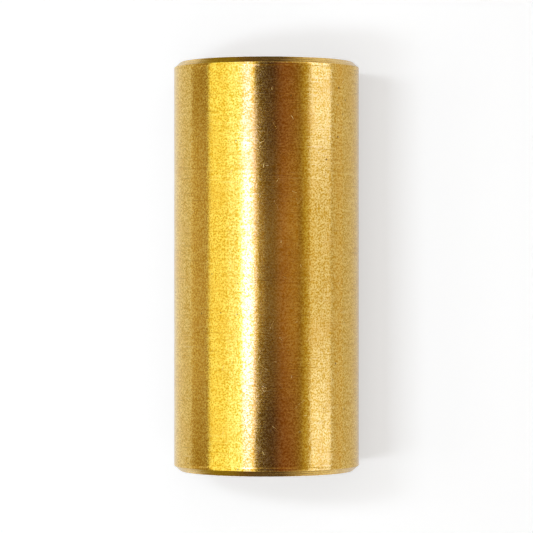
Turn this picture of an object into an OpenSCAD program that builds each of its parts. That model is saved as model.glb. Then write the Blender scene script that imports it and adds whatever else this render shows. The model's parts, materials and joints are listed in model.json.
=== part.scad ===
// Guitar slide: one straight thick-walled brass tube, worn on a finger and slid along the strings.
// It lies on its side. The origin is the centre of the bore, halfway along it. +Y runs along the bore
// and +Z points up, away from the surface that the barrel rests on.

/* [Tube] */
// Diameter of the finger bore, which sets the ring size that the slide fits
bore_d = 19.05; // [15:0.05:23]
// Thickness of the tube wall; with the bore it sets the outside diameter
wall = 3.175; // [2.2:0.025:4.5]
// Overall length, from end face to end face
tube_length = 55.9; // [45:0.05:75]

/* [Edges] */
// How far each outer chamfer reaches in from the barrel, along the end face
chamfer_radial = 0.85; // [0.3:0.05:1.2]
// How far each outer chamfer reaches along the barrel
chamfer_axial = 0.75; // [0.3:0.05:1.5]
// Size of the 45 degree edge break at each mouth of the bore
mouth_break = 0.5; // [0.1:0.05:0.8]

/* [Hidden] */
// Facets of a full turn
turn_fn = 180;
half_length = tube_length / 2;
bore_r = bore_d / 2;
outer_r = bore_r + wall;
// Each end face is a flat ring between these two radii
face_inner_r = bore_r + mouth_break;
face_outer_r = outer_r - chamfer_radial;
// Where the barrel and the bore wall end, measured from the middle of the tube
barrel_end = half_length - chamfer_axial;
bore_end = half_length - mouth_break;
// Section of the tube wall as [radius, distance along the axis] points, anticlockwise
wall_section = [
    [face_inner_r, -half_length],
    [face_outer_r, -half_length],
    [outer_r, -barrel_end],
    [outer_r, barrel_end],
    [face_outer_r, half_length],
    [face_inner_r, half_length],
    [bore_r, bore_end],
    [bore_r, -bore_end]
];

// The whole slide: barrel, bore, chamfers and flat end faces, turned from one piece of brass
module slide_tube() {
    color([0.80, 0.60, 0.22])
        rotate([-90, 0, 0])
            rotate_extrude($fn = turn_fn)
                polygon(wall_section);
}

slide_tube();
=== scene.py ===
"""Guitar slide: a satin brass tube lying on a pale surface, seen from straight above.

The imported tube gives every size. Its visual piece is a fine lathe mesh. The stage is a pale floor, light
panels and a surround. Everything is in metres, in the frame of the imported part, unless a comment or a name
says millimetres.
"""

import json
import math

import bpy
import numpy as np
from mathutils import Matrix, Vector


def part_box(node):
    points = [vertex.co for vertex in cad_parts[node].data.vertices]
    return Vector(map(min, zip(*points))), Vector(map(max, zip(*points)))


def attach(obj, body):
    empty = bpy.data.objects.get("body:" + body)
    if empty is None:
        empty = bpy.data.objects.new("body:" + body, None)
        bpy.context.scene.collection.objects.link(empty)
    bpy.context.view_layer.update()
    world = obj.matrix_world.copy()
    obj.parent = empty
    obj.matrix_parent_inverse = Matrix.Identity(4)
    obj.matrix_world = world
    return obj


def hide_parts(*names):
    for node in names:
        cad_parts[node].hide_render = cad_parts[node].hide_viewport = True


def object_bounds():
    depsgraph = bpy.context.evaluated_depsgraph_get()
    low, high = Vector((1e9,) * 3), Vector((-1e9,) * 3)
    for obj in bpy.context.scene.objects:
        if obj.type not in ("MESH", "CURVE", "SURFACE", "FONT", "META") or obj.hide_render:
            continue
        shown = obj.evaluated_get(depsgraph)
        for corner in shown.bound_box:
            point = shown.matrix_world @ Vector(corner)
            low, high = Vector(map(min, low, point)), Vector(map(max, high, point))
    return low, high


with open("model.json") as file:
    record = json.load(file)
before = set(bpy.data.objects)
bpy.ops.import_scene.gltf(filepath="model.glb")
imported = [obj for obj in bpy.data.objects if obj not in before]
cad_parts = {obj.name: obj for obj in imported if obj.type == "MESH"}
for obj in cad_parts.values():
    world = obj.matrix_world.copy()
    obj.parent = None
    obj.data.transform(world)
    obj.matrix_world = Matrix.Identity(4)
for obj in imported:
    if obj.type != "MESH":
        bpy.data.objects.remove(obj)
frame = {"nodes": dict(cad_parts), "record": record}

cad_low, cad_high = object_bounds()

MM = 0.001
SAME_PLACE = 0.001 * MM     # surfaces closer together than this count as one
NODE = "slide_tube"


# ---------------------------------------------------------------- sizes, all from the frame

def mount_dims(name):
    """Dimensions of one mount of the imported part, in millimetres."""
    mounts = {mount["name"]: mount for mount in frame["record"]["mounts"]}
    return mounts[name]["dims"]


def end_face_radii():
    """Inner and outer radius of the flat ring at the tube's end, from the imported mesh."""
    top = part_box(NODE)[1].y
    on_face = [v.co for v in frame["nodes"][NODE].data.vertices if v.co.y > top - SAME_PLACE]
    radii = [math.hypot(co.x, co.z) for co in on_face]
    return min(radii), max(radii)


OUTER_R = mount_dims("barrel")["r_mm"] * MM
BORE_R = mount_dims("bore")["r_mm"] * MM
BARREL_END = mount_dims("barrel")["length_mm"] * MM / 2
BORE_END = mount_dims("bore")["length_mm"] * MM / 2
HALF_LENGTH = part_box(NODE)[1].y
FACE_INNER_R, FACE_OUTER_R = end_face_radii()


# ---------------------------------------------------------------- the tube's mesh

SEGMENTS = 320              # round the tube
BURR = 0.008 * MM           # height of the burr that the chamfer tool left on the barrel's edge
BURR_MARGIN = 0.004 * MM    # how much more it would rise if the outer radius didn't cap it
BURR_INSET = 0.05 * MM      # from the barrel's edge to the burr's crest
BURR_WIDTH = 0.07 * MM
FORM_ERROR = 0.004 * MM     # how far the barrel is out of true
FORM_SEED = 11
CHAMFER_RIDGES = {"fade": 8, "count": 3.2, "depth": 0.016 * MM}
FACE_RIDGES = {"fade": 6, "count": 6.5, "depth": 0.006 * MM}
BARREL_R = OUTER_R - BURR
CORNER_R = {"barrel": 0.05 * MM, "face": 0.07 * MM, "mouth": 0.08 * MM, "bore": 0.08 * MM}
CORNER_STEPS = 4
SPACING = {
    "barrel": 0.5 * MM,
    "chamfer": 0.045 * MM,
    "face": 0.11 * MM,
    "mouth": 0.16 * MM,
    "bore": 1.0 * MM,
}
ZONES = ("barrel", "chamfer", "face", "mouth", "bore")
MATERIAL_SLOT = {"barrel": 0, "chamfer": 1, "face": 1, "mouth": 1, "bore": 2}


def corner_arc(before, corner, after, radius):
    """Points of the arc that rounds one corner of the section."""
    into = (before - corner).normalized()
    out = (after - corner).normalized()
    half_angle = into.angle(out) / 2
    run = radius / math.tan(half_angle)
    start = corner + into * run
    end = corner + out * run
    centre = corner + (into + out).normalized() * (radius / math.sin(half_angle))
    a, b = start - centre, end - centre
    swing = a.angle(b)
    points = []
    for i in range(CORNER_STEPS + 1):
        t = i / CORNER_STEPS
        points.append(centre + a * (math.sin((1 - t) * swing) / math.sin(swing))
                      + b * (math.sin(t * swing) / math.sin(swing)))
    return points


def half_section():
    """(radius, y, zone) along the wall's surface, from the middle of the barrel over one end to the middle
    of the bore. A zone names the surface from its point to the next one."""
    corners = [Vector((BARREL_R, 0)), Vector((BARREL_R, BARREL_END)), Vector((FACE_OUTER_R, HALF_LENGTH)),
               Vector((FACE_INNER_R, HALF_LENGTH)), Vector((BORE_R, BORE_END)), Vector((BORE_R, 0))]
    radii = [CORNER_R[name] for name in ("barrel", "face", "mouth", "bore")]
    arcs = [corner_arc(corners[i], corners[i + 1], corners[i + 2], radii[i]) for i in range(4)]
    starts = [corners[0]] + [arc[-1] for arc in arcs]
    ends = [arc[0] for arc in arcs] + [corners[-1]]
    points = []
    for i, zone in enumerate(ZONES):
        steps = max(1, math.ceil((ends[i] - starts[i]).length / SPACING[zone]))
        for k in range(steps):
            at = starts[i].lerp(ends[i], k / steps)
            points.append((at.x, at.y, zone))
        if i < 4:
            points += [(p.x, p.y, zone) for p in arcs[i][:-1]]
    points.append((corners[-1].x, corners[-1].y, "bore"))
    return points


def full_section():
    """The closed section: one half, then its mirror image back to the start."""
    half = half_section()
    radius = [p[0] for p in half]
    along = [p[1] for p in half]
    zone = [p[2] for p in half[:-1]]
    radius += radius[-2:0:-1]
    along += [-y for y in along[-2:0:-1]]
    zone += zone[::-1]
    return np.array(radius), np.array(along), zone


def ripple(rng, angle, along, count, turns, waves, size):
    """A smooth random relief: count waves with up to `turns` periods round the tube and `waves` along it."""
    relief = np.zeros(np.broadcast(angle, along).shape)
    for _ in range(count):
        m = rng.integers(1, turns + 1)
        k = rng.uniform(-waves, waves) * math.pi / HALF_LENGTH
        relief += np.sin(m * angle + k * along + rng.uniform(0, 2 * math.pi)) / math.sqrt(count)
    return relief * size


def bump_at(values, centre, width):
    return np.exp(-((values - centre) / width) ** 2)


def ridge_cut(across, fade, count, depth):
    """How deep the tool's ridges cut where across runs from 0 to 1 over a surface, and 0 at both edges."""
    inside = np.clip(across * fade, 0, 1) * np.clip((1 - across) * fade, 0, 1)
    return inside * depth * (0.5 + 0.5 * np.sin(across * 2 * math.pi * count))


def with_burr(r, y, angle):
    """Radii with the burr at both ends of the barrel, uneven round the edge and capped at the CAD radius."""
    unevenness = 0.55 + 0.45 * np.sin(3 * angle + 1.0) * np.sin(7 * angle + 2.2)
    edge = bump_at(np.abs(y), BARREL_END - BURR_INSET, BURR_WIDTH)
    return np.minimum(r + edge * (BURR + BURR_MARGIN) * unevenness, OUTER_R)


def tube_points():
    """Points of the lathe mesh as rings round the tube, and the zone of each ring."""
    rng = np.random.default_rng(FORM_SEED)
    radius, along, zone = full_section()
    angle = np.linspace(0, 2 * math.pi, SEGMENTS, endpoint=False)[None, :]
    r = np.repeat(radius[:, None], SEGMENTS, axis=1)
    y = np.repeat(along[:, None], SEGMENTS, axis=1)

    # Form errors of the barrel, always inwards from the CAD surface
    outside = radius[:, None] > BARREL_R - SAME_PLACE
    form = ripple(rng, angle, y, count=18, turns=16, waves=8, size=FORM_ERROR)
    r = r - outside * (form.max() - form)
    r = with_burr(r, y, angle)

    # Concentric ridges that the tool left on chamfers and end faces, cut inwards along the axis
    side = np.sign(y)
    y = y - side * ridge_cut((r - FACE_OUTER_R) / (OUTER_R - FACE_OUTER_R), **CHAMFER_RIDGES)
    y = y - side * ridge_cut((r - FACE_INNER_R) / (FACE_OUTER_R - FACE_INNER_R), **FACE_RIDGES)

    points = np.stack([r * np.sin(angle), y, r * np.cos(angle)], axis=2)
    return points.reshape(-1, 3), zone


def ring_quads(ring_count):
    """Corner numbers of the quads between neighbouring rings, facing out of the metal."""
    ring = np.arange(ring_count)[:, None] * SEGMENTS
    next_ring = (np.arange(ring_count)[:, None] + 1) % ring_count * SEGMENTS
    here = np.arange(SEGMENTS)[None, :]
    there = (here + 1) % SEGMENTS
    corners = [ring + here, ring + there, next_ring + there, next_ring + here]
    return np.stack(corners, axis=2).reshape(-1, 4)


def tube_mesh():
    """The lathe mesh, with the tool's ridges, the burr and the small form errors as real relief."""
    points, zone = tube_points()
    quads = ring_quads(len(zone))
    mesh = bpy.data.meshes.new("brass_slide")
    mesh.vertices.add(len(points))
    mesh.vertices.foreach_set("co", points.astype(np.float32).ravel())
    mesh.loops.add(quads.size)
    mesh.loops.foreach_set("vertex_index", quads.astype(np.int32).ravel())
    mesh.polygons.add(len(quads))
    mesh.polygons.foreach_set("loop_start", np.arange(0, quads.size, 4, dtype=np.int32))
    mesh.update(calc_edges=True)
    mesh.validate()
    mesh.shade_smooth()
    index = np.repeat([MATERIAL_SLOT[name] for name in zone], SEGMENTS).astype(np.int32)
    mesh.polygons.foreach_set("material_index", index)
    return mesh


# ---------------------------------------------------------------- materials

class Nodes:
    """Short ways to add nodes to one tree."""

    def __init__(self, tree):
        self.tree = tree

    def add(self, kind, inputs=None, **settings):
        node = self.tree.nodes.new(kind)
        for name, value in settings.items():
            setattr(node, name, value)
        for key, value in (inputs or {}).items():
            self.feed(node.inputs[key], value)
        return node

    def feed(self, socket, value):
        if isinstance(value, bpy.types.NodeSocket):
            self.tree.links.new(value, socket)
        else:
            socket.default_value = value

    def math(self, operation, a, b=0.0):
        return self.add("ShaderNodeMath", {0: a, 1: b}, operation=operation).outputs[0]

    def smooth(self, value, low, high, to_low=0.0, to_high=1.0):
        """value from low..high to to_low..to_high, with soft ends and held beyond them."""
        ends = {"Value": value, "From Min": low, "From Max": high, "To Min": to_low, "To Max": to_high}
        return self.add("ShaderNodeMapRange", ends, interpolation_type="SMOOTHSTEP").outputs["Result"]

    def stretch(self, vector, scale, shift=(0, 0, 0)):
        ends = {"Vector": vector, "Scale": scale, "Location": shift}
        return self.add("ShaderNodeMapping", ends).outputs[0]

    def noise(self, vector, scale, detail=2.0, roughness=0.5):
        ends = {"Vector": vector, "Scale": scale, "Detail": detail, "Roughness": roughness}
        return self.add("ShaderNodeTexNoise", ends).outputs["Fac"]

    def blend(self, amount, a, b):
        node = self.add("ShaderNodeMix", data_type="RGBA")
        self.feed(node.inputs["Factor"], amount)
        self.feed(node.inputs[6], a)
        self.feed(node.inputs[7], b)
        return node.outputs[2]

    def tint(self, colour, mask, amount, other):
        """colour with amount of another colour where the mask is 1."""
        return self.blend(self.math("MULTIPLY", mask, amount), colour, (*other, 1))

    def ramp(self, value, stops):
        """A colour ramp: stops are (position, colour) pairs in rising order."""
        node = self.add("ShaderNodeValToRGB", {0: value})
        elements = node.color_ramp.elements
        while len(elements) < len(stops):
            elements.new(0.5)
        for element, (position, colour) in zip(elements, stops):
            element.position = position
            element.color = (*colour, 1)
        return node.outputs[0]

    def bump(self, height, distance, normal=None):
        node = self.add("ShaderNodeBump", {"Height": height, "Distance": distance, "Strength": 1.0})
        if normal is not None:
            self.feed(node.inputs["Normal"], normal)
        return node.outputs[0]


def new_material(name):
    material = bpy.data.materials.new(name)
    material.use_nodes = True
    nodes = Nodes(material.node_tree)
    shader = material.node_tree.nodes["Principled BSDF"]
    return material, nodes, shader


def unrolled(n, place):
    """Place on the barrel as if it were rolled out flat, in millimetres: round from the top, and along."""
    split = n.add("ShaderNodeSeparateXYZ", {0: place})
    round_mm = n.math("MULTIPLY", n.math("ARCTAN2", split.outputs["X"], split.outputs["Z"]), OUTER_R / MM)
    along_mm = n.math("DIVIDE", split.outputs["Y"], MM)
    return n.add("ShaderNodeCombineXYZ", {0: round_mm, 1: along_mm}).outputs[0]


def stroke(n, u, v, half_length, half_width, bend=0.0):
    """1 on a short, slightly bent line through u = v = 0, 0 away from it. All sizes are in millimetres."""
    v = n.math("ADD", v, n.math("MULTIPLY", n.math("MULTIPLY", u, u), bend))
    across = n.smooth(n.math("ABSOLUTE", v), half_width, half_width * 0.3)
    along = n.smooth(n.math("ABSOLUTE", u), half_length, n.math("MULTIPLY", half_length, 0.6))
    return n.math("MULTIPLY", across, along)


def turned(n, u, v, angle):
    """The plane coordinates u, v turned by an angle in radians."""
    c, s = n.math("COSINE", angle), n.math("SINE", angle)
    u2 = n.math("ADD", n.math("MULTIPLY", u, c), n.math("MULTIPLY", v, s))
    v2 = n.math("SUBTRACT", n.math("MULTIPLY", v, c), n.math("MULTIPLY", u, s))
    return u2, v2


def scattered_scratches(n, flat, cell, share, half_length, half_width, shift):
    """One scratch in some cells of a loose grid, each turned its own way. Sizes are in millimetres."""
    at = n.stretch(flat, (1 / cell, 1 / cell, 1), shift=(shift, shift, 0))
    cells = n.add("ShaderNodeTexVoronoi", {"Vector": at, "Scale": 1.0}, voronoi_dimensions="2D")
    offset = n.add("ShaderNodeVectorMath", {0: at, 1: cells.outputs["Position"]}, operation="SUBTRACT")
    apart = n.add("ShaderNodeSeparateXYZ", {0: offset.outputs[0]})
    chance = n.add("ShaderNodeSeparateXYZ", {0: cells.outputs["Color"]})
    u = n.math("MULTIPLY", apart.outputs["X"], cell)
    v = n.math("MULTIPLY", apart.outputs["Y"], cell)
    u, v = turned(n, u, v, n.math("MULTIPLY", chance.outputs["X"], 2 * math.pi))
    length = n.math("MULTIPLY", n.smooth(chance.outputs["Y"], 0, 1, 0.4, 1.0), half_length)
    line = stroke(n, u, v, length, half_width, 0.05)
    return n.math("MULTIPLY", line, n.math("LESS_THAN", chance.outputs["Z"], share))


def placed_scratch(n, flat, u_mm, v_mm, degrees, half_length, half_width, bend):
    """One scratch at a given place on the barrel. Sizes are in millimetres."""
    split = n.add("ShaderNodeSeparateXYZ", {0: flat})
    u = n.math("SUBTRACT", split.outputs["X"], u_mm)
    v = n.math("SUBTRACT", split.outputs["Y"], v_mm)
    u, v = turned(n, u, v, math.radians(degrees))
    return stroke(n, u, v, half_length, half_width, bend)


def placed_spot(n, flat, u_mm, v_mm, radius):
    """One round spot at a given place on the barrel. Sizes are in millimetres."""
    centre = n.add("ShaderNodeVectorMath", {0: flat, 1: (u_mm, v_mm, 0)}, operation="DISTANCE")
    return n.smooth(centre.outputs["Value"], radius, radius * 0.4)


def pits(n, flat, cell, share, radius, shift):
    """Round spots in some cells of a loose grid. Sizes are in millimetres."""
    at = n.stretch(flat, (1 / cell, 1 / cell, 1), shift=(shift, shift, 0))
    cells = n.add("ShaderNodeTexVoronoi", {"Vector": at, "Scale": 1.0}, voronoi_dimensions="2D")
    chance = n.add("ShaderNodeSeparateXYZ", {0: cells.outputs["Color"]})
    size = n.math("MULTIPLY", n.smooth(chance.outputs["Y"], 0, 1, 0.5, 1.0), radius / cell)
    spot = n.smooth(n.math("DIVIDE", cells.outputs["Distance"], size), 1.0, 0.3)
    return n.math("MULTIPLY", spot, n.math("LESS_THAN", chance.outputs["Z"], share))


# Dark spots that can be told apart: round and along in millimetres, radius
DARK_SPOTS = [
    (11.1, 24.0, 0.22),
    (12.6, 22.4, 0.16),
    (10.9, 21.7, 0.15),
    (12.0, 20.5, 0.14),
    (8.7, 14.3, 0.20),
    (10.9, 17.4, 0.20),
    (10.4, -13.0, 0.19),
    (12.3, -19.2, 0.17),
    (-9.6, -6.3, 0.16),
    (4.5, -22.0, 0.15),
]

# Deeper scratches: round and along in millimetres, direction in degrees, half length, half width, bend
DEEP_SCRATCHES = [
    (-0.7, 16.5, 24, 0.50, 0.040, 0.10),
    (-1.4, 20.5, -70, 0.30, 0.035, 0.15),
    (-0.4, 13.4, 80, 0.35, 0.035, 0.20),
    (1.5, 11.5, 55, 0.40, 0.035, 0.15),
    (-0.3, -16.0, -30, 0.45, 0.040, 0.12),
    (-1.0, -12.2, 62, 0.35, 0.035, 0.10),
    (1.9, -9.6, -48, 0.40, 0.035, 0.12),
]


BARREL_COLOURS = {
    "deep": (0.68, 0.365, 0.015),
    "pale": (1.0, 0.738, 0.232),
    # dark and pale colour along the turning lines: painted shade and painted highlight
    "line_shade": (0.60, 0.34, 0.05),
    "line_highlight": (1.0, 0.82, 0.42),
    "tarnish": (0.82, 0.47, 0.09),
    "speck": (0.45, 0.20, 0.05),
    "scratch": (1.0, 0.84, 0.45),
    "pit": (0.16, 0.07, 0.02),
}
CUT_COLOURS = {
    "deep": (0.77, 0.475, 0.085),
    "pale": (0.94, 0.65, 0.19),
    # dark and bright colour along the tool rings: painted shade and painted highlight
    "ring_shade": (0.50, 0.30, 0.07),
    "ring_highlight": (1.0, 0.80, 0.40),
    "tarnish": (0.62, 0.37, 0.09),
}
BORE_COLOURS = {
    "deep": (0.70, 0.45, 0.12),
    "pale": (0.92, 0.68, 0.26),
    "mark": (0.48, 0.29, 0.09),
    "tarnish": (0.58, 0.36, 0.12),
}


def barrel_brass():
    """Satin turned brass: fine grain, fine lines round the barrel with painted shade and painted highlight
    along them, short scratches, pits and soft tarnish.
    """
    material, n, shader = new_material("barrel_brass")
    place = n.add("ShaderNodeTexCoord").outputs["Object"]
    flat = unrolled(n, place)

    grain = n.noise(place, 4200, 1.0, 0.5)
    grain_fine = n.noise(place, 9000, 1.0, 0.5)
    lines = n.noise(n.stretch(place, (200, 4600, 200)), 1.0, 4.0, 0.72)
    line_patch = n.smooth(n.noise(place, 190, 2.0, 0.5), 0.38, 0.66)
    cloud = n.noise(place, 220, 3.0, 0.55)
    mottle = n.noise(place, 1400, 2.0, 0.5)

    scratch = scattered_scratches(
        n, flat, cell=2.6, share=0.24, half_length=0.50, half_width=0.030, shift=3.0)
    hairline = scattered_scratches(
        n, flat, cell=4.0, share=0.5, half_length=1.9, half_width=0.024, shift=11.0)
    for entry in DEEP_SCRATCHES:
        scratch = n.math("MAXIMUM", scratch, placed_scratch(n, flat, *entry))
    pit = pits(n, flat, cell=2.9, share=0.12, radius=0.15, shift=0.0)
    for entry in DARK_SPOTS:
        pit = n.math("MAXIMUM", pit, placed_spot(n, flat, *entry))
    speck = pits(n, flat, cell=0.8, share=0.22, radius=0.11, shift=7.0)

    tone = n.math("ADD", n.math("MULTIPLY", grain, 0.55), n.math("MULTIPLY", grain_fine, 0.33))
    tone = n.math("ADD", tone, n.math("MULTIPLY", mottle, 0.12))
    tone = n.smooth(tone, 0.38, 0.61)
    colour = n.blend(tone, (*BARREL_COLOURS["deep"], 1), (*BARREL_COLOURS["pale"], 1))
    line_share = n.smooth(line_patch, 0, 1, 0.30, 1.0)
    # Painted shade and painted highlight along the turning lines: the lines are real relief in the bump
    # below, their dark and pale colour is painted light.
    line_shade = n.math("MULTIPLY", n.smooth(lines, 0.48, 0.30), line_share)
    colour = n.tint(colour, line_shade, 0.85, BARREL_COLOURS["line_shade"])
    line_highlight = n.math("MULTIPLY", n.smooth(lines, 0.56, 0.72), line_share)
    colour = n.tint(colour, line_highlight, 0.60, BARREL_COLOURS["line_highlight"])
    tarnish = n.smooth(cloud, 0.46, 0.75)
    colour = n.tint(colour, tarnish, 0.4, BARREL_COLOURS["tarnish"])
    colour = n.tint(colour, speck, 0.45, BARREL_COLOURS["speck"])
    colour = n.tint(colour, scratch, 0.35, BARREL_COLOURS["scratch"])
    colour = n.tint(colour, pit, 0.8, BARREL_COLOURS["pit"])
    n.feed(shader.inputs["Base Color"], colour)
    shader.inputs["Metallic"].default_value = 1.0
    roughness = n.math("ADD", n.smooth(grain, 0.3, 0.7, 0.11, 0.17), n.smooth(cloud, 0.3, 0.7, -0.01, 0.03))
    roughness = n.math("ADD", roughness, n.math("MULTIPLY", n.math("MAXIMUM", pit, scratch), 0.2))
    n.feed(shader.inputs["Roughness"], roughness)
    normal = n.bump(grain, 0.0000018)
    normal = n.bump(n.math("MULTIPLY", lines, line_share), 0.000011, normal=normal)
    cuts = n.math("ADD", n.math("MULTIPLY", scratch, 0.8), n.math("MULTIPLY", hairline, 0.45))
    cuts = n.math("ADD", cuts, pit)
    normal = n.bump(n.math("SUBTRACT", 1.0, cuts), 0.000010, normal=normal)
    n.feed(shader.inputs["Normal"], normal)
    return material


def cut_brass():
    """The freshly faced ends and chamfers: fine rings about the axis left by the tool, with painted shade and
    painted highlight along them.
    """
    material, n, shader = new_material("cut_brass")
    place = n.add("ShaderNodeTexCoord").outputs["Object"]
    split = n.add("ShaderNodeSeparateXYZ", {0: place})
    flat_place = n.add("ShaderNodeCombineXYZ", {0: split.outputs["X"], 2: split.outputs["Z"]}).outputs[0]
    from_axis = n.add("ShaderNodeVectorMath", {0: flat_place}, operation="LENGTH").outputs["Value"]
    direction = n.add("ShaderNodeVectorMath", {0: flat_place}, operation="NORMALIZE").outputs[0]
    arms = n.add("ShaderNodeSeparateXYZ", {0: direction})
    across = n.math("SUBTRACT", from_axis, n.math("ABSOLUTE", split.outputs["Y"]))
    round_scale = 2.2           # how fast a ring changes on its way round
    ring_scale = 5200           # how closely the rings follow each other
    ring_place = n.add("ShaderNodeCombineXYZ", {
        0: n.math("MULTIPLY", arms.outputs["X"], round_scale),
        1: n.math("MULTIPLY", across, ring_scale),
        2: n.math("MULTIPLY", arms.outputs["Z"], round_scale)}).outputs[0]
    rings = n.noise(ring_place, 1.0, 3.0, 0.6)
    grain = n.noise(place, 4500, 1.0, 0.5)
    cloud = n.noise(place, 350, 3.0, 0.55)

    tone = n.smooth(grain, 0.36, 0.64)
    colour = n.blend(tone, (*CUT_COLOURS["deep"], 1), (*CUT_COLOURS["pale"], 1))
    # Painted shade and painted highlight along the rings: the rings are real relief in the mesh and the bump,
    # their dark and bright colour is painted light.
    colour = n.tint(colour, n.smooth(rings, 0.50, 0.34), 0.75, CUT_COLOURS["ring_shade"])
    colour = n.tint(colour, n.smooth(rings, 0.54, 0.68), 0.4, CUT_COLOURS["ring_highlight"])
    colour = n.tint(colour, n.smooth(cloud, 0.48, 0.75), 0.5, CUT_COLOURS["tarnish"])
    n.feed(shader.inputs["Base Color"], colour)
    shader.inputs["Metallic"].default_value = 1.0
    n.feed(shader.inputs["Roughness"], n.smooth(cloud, 0.3, 0.7, 0.12, 0.20))
    normal = n.bump(rings, 0.000014)
    normal = n.bump(grain, 0.000002, normal=normal)
    n.feed(shader.inputs["Normal"], normal)
    return material


def bore_brass():
    """The reamed bore: duller and darker than the outside, with marks round it and a few along it."""
    material, n, shader = new_material("bore_brass")
    place = n.add("ShaderNodeTexCoord").outputs["Object"]
    marks = n.noise(n.stretch(place, (150, 4200, 150)), 1.0, 4.0, 0.65)
    drags = n.noise(n.stretch(place, (2600, 70, 2600)), 1.0, 3.0, 0.6)
    grain = n.noise(place, 3500, 2.0, 0.6)
    cloud = n.noise(place, 160, 3.0, 0.6)

    tone = n.smooth(grain, 0.34, 0.66)
    colour = n.blend(tone, (*BORE_COLOURS["deep"], 1), (*BORE_COLOURS["pale"], 1))
    colour = n.tint(colour, n.smooth(marks, 0.50, 0.28), 0.6, BORE_COLOURS["mark"])
    colour = n.tint(colour, n.smooth(cloud, 0.45, 0.75), 0.5, BORE_COLOURS["tarnish"])
    n.feed(shader.inputs["Base Color"], colour)
    shader.inputs["Metallic"].default_value = 1.0
    n.feed(shader.inputs["Roughness"], n.smooth(cloud, 0.3, 0.7, 0.24, 0.36))
    normal = n.bump(marks, 0.000014)
    normal = n.bump(drags, 0.000005, normal=normal)
    normal = n.bump(grain, 0.000005, normal=normal)
    n.feed(shader.inputs["Normal"], normal)
    return material


tube = bpy.data.objects.new("brass_slide", tube_mesh())
bpy.context.scene.collection.objects.link(tube)
tube.data.materials.append(barrel_brass())
tube.data.materials.append(cut_brass())
tube.data.materials.append(bore_brass())
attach(tube, "root")
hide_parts(NODE)


# ---------------------------------------------------------------- stage

FLOOR_Z = cad_low.z
FLOOR_GLOW = (0.592, 0.574, 0.554)
FLOOR_HALF = 3.0
CARD_HALF_X, CARD_HALF_Y = 0.068, 0.0475
CARD_LIFT = 0.00002
CARD_GLOW_REACH = 0.05      # the card's glow changes as far as this on either side of the tube
# Painted light and shade of the floor beside the tube, as the brass reflects it: position across, glow
CARD_GLOW = [
    (0.05, (0.51, 0.50, 0.49)),
    (0.16, (0.55, 0.54, 0.52)),
    (0.28, (0.64, 0.65, 0.64)),
    (0.60, (0.54, 0.54, 0.58)),
    (0.71, (0.50, 0.49, 0.52)),
    (0.83, (0.46, 0.43, 0.40)),
]


def plane(name, half_x, half_y, z, material):
    mesh = bpy.data.meshes.new(name)
    mesh.from_pydata([(-half_x, -half_y, z), (half_x, -half_y, z), (half_x, half_y, z), (-half_x, half_y, z)],
                     [], [(0, 1, 2, 3)])
    mesh.materials.append(material)
    obj = bpy.data.objects.new(name, mesh)
    bpy.context.scene.collection.objects.link(obj)
    return obj


def pale_floor():
    """A matt white surface lit a little from inside, like a light table."""
    material, _, shader = new_material("pale_floor")
    shader.inputs["Base Color"].default_value = (0.9, 0.9, 0.9, 1)
    shader.inputs["Roughness"].default_value = 0.9
    shader.inputs["Specular IOR Level"].default_value = 0.0
    shader.inputs["Emission Color"].default_value = (*FLOOR_GLOW, 1)
    shader.inputs["Emission Strength"].default_value = 1.0
    return material


def floor_reflection_glow():
    """A glowing card that only the brass sees, a painted reflection of the floor beside it: painted light
    brightest close to the tube's left side, dimmer towards the right where the floor lies in the tube's
    shadow.
    """
    material, n, shader = new_material("floor_reflection_glow")
    split = n.add("ShaderNodeSeparateXYZ", {0: n.add("ShaderNodeTexCoord").outputs["Object"]})
    reach = {"Value": split.outputs["X"], "From Min": -CARD_GLOW_REACH, "From Max": CARD_GLOW_REACH}
    across = n.add("ShaderNodeMapRange", reach)
    glow = n.ramp(across.outputs["Result"], CARD_GLOW)
    shader.inputs["Base Color"].default_value = (0.45, 0.45, 0.45, 1)
    shader.inputs["Roughness"].default_value = 0.9
    shader.inputs["Specular IOR Level"].default_value = 0.0
    n.feed(shader.inputs["Emission Color"], glow)
    shader.inputs["Emission Strength"].default_value = 1.0
    return material


floor = plane("floor", FLOOR_HALF, FLOOR_HALF, FLOOR_Z, pale_floor())
floor.visible_glossy = False
# A card that glows though it is no lamp: a painted reflection of the lit and shaded floor
card = plane("glowing_reflection_card", CARD_HALF_X, CARD_HALF_Y, FLOOR_Z + CARD_LIFT, floor_reflection_glow())
card.visible_camera = False
card.visible_diffuse = False
card.visible_shadow = False
card.visible_transmission = False


# ---------------------------------------------------------------- lights

def area_light(name, width, length, radiance):
    """A rectangular area light of the given brightness, not seen by the camera."""
    light = bpy.data.lights.new(name, "AREA")
    light.shape = "RECTANGLE"
    light.size = width
    light.size_y = length
    light.energy = radiance * math.pi * width * length
    obj = bpy.data.objects.new(name, light)
    obj.visible_camera = False
    bpy.context.scene.collection.objects.link(obj)
    return obj


def panel(name, from_deg, to_deg, distance, low_y, high_y, radiance, colour=(1, 1, 1), seen_by="brass"):
    """A flat light panel that faces the tube and covers the directions from_deg to to_deg, measured round the
    tube's axis from straight up, positive towards +X. It reaches from low_y to high_y along the tube.
    radiance is its brightness. It is seen by the brass only, or lights the floor only."""
    middle = math.radians((from_deg + to_deg) / 2)
    half = math.radians(abs(to_deg - from_deg) / 2)
    obj = area_light(name, 2 * distance * math.tan(half), high_y - low_y, radiance)
    obj.data.color = colour
    obj.location = (distance * math.sin(middle), (low_y + high_y) / 2, distance * math.cos(middle))
    obj.rotation_euler = (0, middle, 0)
    obj.visible_glossy = seen_by != "floor"
    obj.visible_diffuse = seen_by != "brass"


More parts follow.
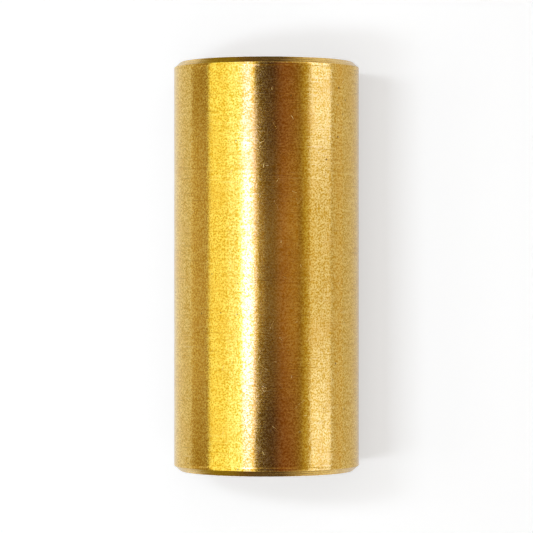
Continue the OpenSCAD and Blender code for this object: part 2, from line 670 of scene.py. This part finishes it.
def panel_pair(name, from_deg, to_deg, distance, near_y, far_y, radiance, colour=(1, 1, 1), seen_by="brass"):
    """The same panel towards both ends of the tube, each from near_y to far_y away from its middle."""
    panel(name + "_plus", from_deg, to_deg, distance, near_y, far_y, radiance, colour, seen_by)
    panel(name + "_minus", from_deg, to_deg, distance, -far_y, -near_y, radiance, colour, seen_by)


# Panels that make the bands in the brass, from left to right
panel("left_low_glow", -106.4, -74.9, 0.41, -0.040, 0.040, 0.20)
panel("left_softbox", -74.9, -47.3, 0.40, -0.3, 0.3, 1.0, (1.00, 1.02, 0.44))
panel_pair("left_softbox_end", -74.9, -47.3, 0.39, 0.023, 0.3, 0.06, (0.8, 1.4, 0.1))
panel("left_bright", -47.3, -29.6, 0.41, -0.3, 0.3, 1.0, (1.12, 1.24, 0.90))
panel_pair("left_bright_end", -47.3, -29.6, 0.39, 0.023, 0.3, 0.12, (0.3, 1.4, 0.8))
panel("key_strip", -29.6, -14.3, 0.42, -0.3, 0.3, 1.0, (1.20, 1.12, 0.15))
panel("key_strip_cool", -28.6, -18.9, 0.425, -0.3, 0.3, 1.0, (0.2, 0.40, 2.8))
panel("key_fringe", -14.8, -6.9, 0.43, -0.3, 0.3, 0.04, (1.0, 0.6, 0.0))
panel("key_middle", -32.5, -9.9, 0.415, -0.030, 0.030, 1.0, (0.95, 0.94, 0.45))
panel("key_middle_cool", -29.6, -13.8, 0.41, -0.039, 0.039, 1.0, (0.0, 0.1, 4.6))
panel("key_middle_fringe", -9.9, -3, 0.435, -0.024, 0.024, 0.24, (1.0, 0.75, 0.3))
panel("middle_glow", -5.9, 39.4, 0.41, -0.024, 0.024, 0.165, (1.15, 0.92, 0.5))
panel("middle_glow_right", 23.6, 37.4, 0.40, -0.024, 0.024, 0.05, (1.0, 1.1, 0.1))
panel("right_card", 54.2, 84.7, 0.40, -0.3, 0.3, 0.40, (0.92, 0.90, 1.0))
panel_pair("right_card_end", 55.2, 86.2, 0.38, 0.032, 0.3, 0.40, (1.25, 1.66, 4.2))

# Panels that light the floor
panel_pair("floor_key", -30, -14, 0.42, 0.045, 0.085, 18.9, (0.93, 1.0, 1.08), seen_by="floor")
panel("floor_top", -12, 4, 0.50, -0.10, 0.10, 2.8, seen_by="floor")
panel_pair("floor_top_end", -12, 30, 0.50, 0.10, 0.28, 0.79, seen_by="floor")
panel("floor_left", -48, -36, 0.50, -0.10, 0.10, 2.05, seen_by="floor")


END_PANEL_SIZE = 0.24
END_PANEL_DISTANCE = 0.6
END_PANEL_RADIANCE = 1.8
END_PANEL_X, END_PANEL_Y, END_PANEL_Z = -0.279, 0.83, 0.483     # direction of the one at +Y


def end_panel(name, side):
    """A square light panel off one end of the tube, up and to the left, seen by the brass only."""
    obj = area_light(name, END_PANEL_SIZE, END_PANEL_SIZE, END_PANEL_RADIANCE)
    obj.location = Vector((END_PANEL_X, side * END_PANEL_Y, END_PANEL_Z)) * END_PANEL_DISTANCE
    obj.rotation_euler = obj.location.to_track_quat("Z", "Y").to_euler()
    obj.visible_diffuse = False


end_panel("near_end_light", -1)
end_panel("far_end_light", 1)


# ---------------------------------------------------------------- surround

# Brightness by direction round the tube's axis, in degrees from straight up, positive towards +X
ROUND_AXIS = [
    (-180, (0.7, 0.7, 0.7)),
    (-107.4, (0.7, 0.7, 0.7)),
    (-104.4, (0.43, 0.34, 0.13)),
    (-78.8, (0.35, 0.26, 0.095)),
    (-76.8, (0.14, 0.11, 0.10)),
    (-9.9, (0.102, 0.084, 0.078)),
    (0, (0.093, 0.067, 0.085)),
    (8.9, (0.078, 0.045, 0.055)),
    (19.7, (0.23, 0.10, 0.065)),
    (33.5, (0.26, 0.13, 0.07)),
    (42.4, (0.285, 0.190, 0.070)),
    (51.2, (0.56, 0.455, 0.085)),
    (59.1, (0.45, 0.42, 0.28)),
    (80.8, (0.40, 0.38, 0.30)),
    (89.6, (0.63, 0.585, 0.50)),
    (107.4, (0.71, 0.635, 0.53)),
    (110.3, (0.6, 0.6, 0.6)),
    (180, (0.6, 0.6, 0.6)),
]

# Off the ends of the tube, by direction across it, from -END_REACH at 0 to END_REACH at 1
END_REACH = 0.67
LOW_ENDS = [
    (0.18, (0.30, 0.235, 0.035)),
    (0.24, (0.325, 0.300, 0.028)),
    (0.285, (0.260, 0.205, 0.036)),
    (0.335, (0.165, 0.113, 0.058)),
    (0.45, (0.108, 0.085, 0.073)),
    (0.57, (0.090, 0.070, 0.072)),
    (0.62, (0.125, 0.092, 0.088)),
    (0.67, (0.37, 0.31, 0.25)),
    (0.73, (0.45, 0.42, 0.30)),
    (0.76, (0.63, 0.58, 0.48)),
    (0.79, (0.93, 0.92, 0.95)),
    (0.82, (0.95, 0.95, 1.00)),
]
HIGH_ENDS = [(0.35, (0.50, 0.47, 0.43)), (0.85, (0.95, 0.90, 0.85))]
SKY = (0.92, 0.90, 0.88)


def surround():
    """The rest of the room as the brass sees it, by direction round the tube's axis."""
    world = bpy.data.worlds.new("surround")
    bpy.context.scene.world = world
    world.use_nodes = True
    world.cycles_visibility.diffuse = False
    world.node_tree.nodes.clear()
    n = Nodes(world.node_tree)
    split = n.add("ShaderNodeSeparateXYZ", {0: n.add("ShaderNodeTexCoord").outputs["Generated"]})
    azimuth = n.math("ARCTAN2", split.outputs["X"], split.outputs["Z"])
    turn = n.add("ShaderNodeMapRange", {"Value": azimuth, "From Min": -math.pi, "From Max": math.pi})
    stops = [((degrees + 180) / 360, colour) for degrees, colour in ROUND_AXIS]
    bands = n.ramp(turn.outputs["Result"], stops)

    # Off the ends of the tube: one light above the horizon, another below it
    reach = {"Value": split.outputs["X"], "From Min": -END_REACH, "From Max": END_REACH}
    side = n.add("ShaderNodeMapRange", reach)
    low_ends = n.ramp(side.outputs["Result"], LOW_ENDS)
    high_ends = n.ramp(side.outputs["Result"], HIGH_ENDS)
    below = n.smooth(split.outputs["Z"], 0.12, 0.03)
    ends = n.blend(below, high_ends, low_ends)
    colour = n.blend(n.smooth(n.math("ABSOLUTE", split.outputs["Y"]), 0.45, 0.8), bands, ends)
    studio = n.add("ShaderNodeBackground", {"Color": colour})

    # What the camera sees past the floor's edge: the floor's own grey at the horizon, lighter above it
    height = n.smooth(split.outputs["Z"], 0.0, 0.30)
    backdrop = n.blend(height, (*FLOOR_GLOW, 1), (*SKY, 1))
    plain = n.add("ShaderNodeBackground", {"Color": backdrop})
    seen = n.add("ShaderNodeLightPath").outputs["Is Camera Ray"]
    mix = n.add("ShaderNodeMixShader", {0: seen, 1: studio.outputs[0], 2: plain.outputs[0]})
    n.add("ShaderNodeOutputWorld", {"Surface": mix.outputs[0]})


surround()


# ---------------------------------------------------------------- camera

CAMERA_RADII = 30.0         # camera height over the tube's axis, in outer radii
FRAME_RADII = 5.760         # width of the picture at the tube's axis, in outer radii
SENSOR = 36.0               # width of the sensor, in millimetres

camera_data = bpy.data.cameras.new("camera")
camera_data.sensor_width = SENSOR
camera_data.lens = SENSOR * CAMERA_RADII / FRAME_RADII
camera = bpy.data.objects.new("camera", camera_data)
camera.location = (0, 0, CAMERA_RADII * OUTER_R)
bpy.context.scene.collection.objects.link(camera)
bpy.context.scene.camera = camera
bpy.context.scene.view_settings.view_transform = "Standard"
bpy.context.scene.cycles.caustics_reflective = False
bpy.context.scene.cycles.denoising_prefilter = "NONE"
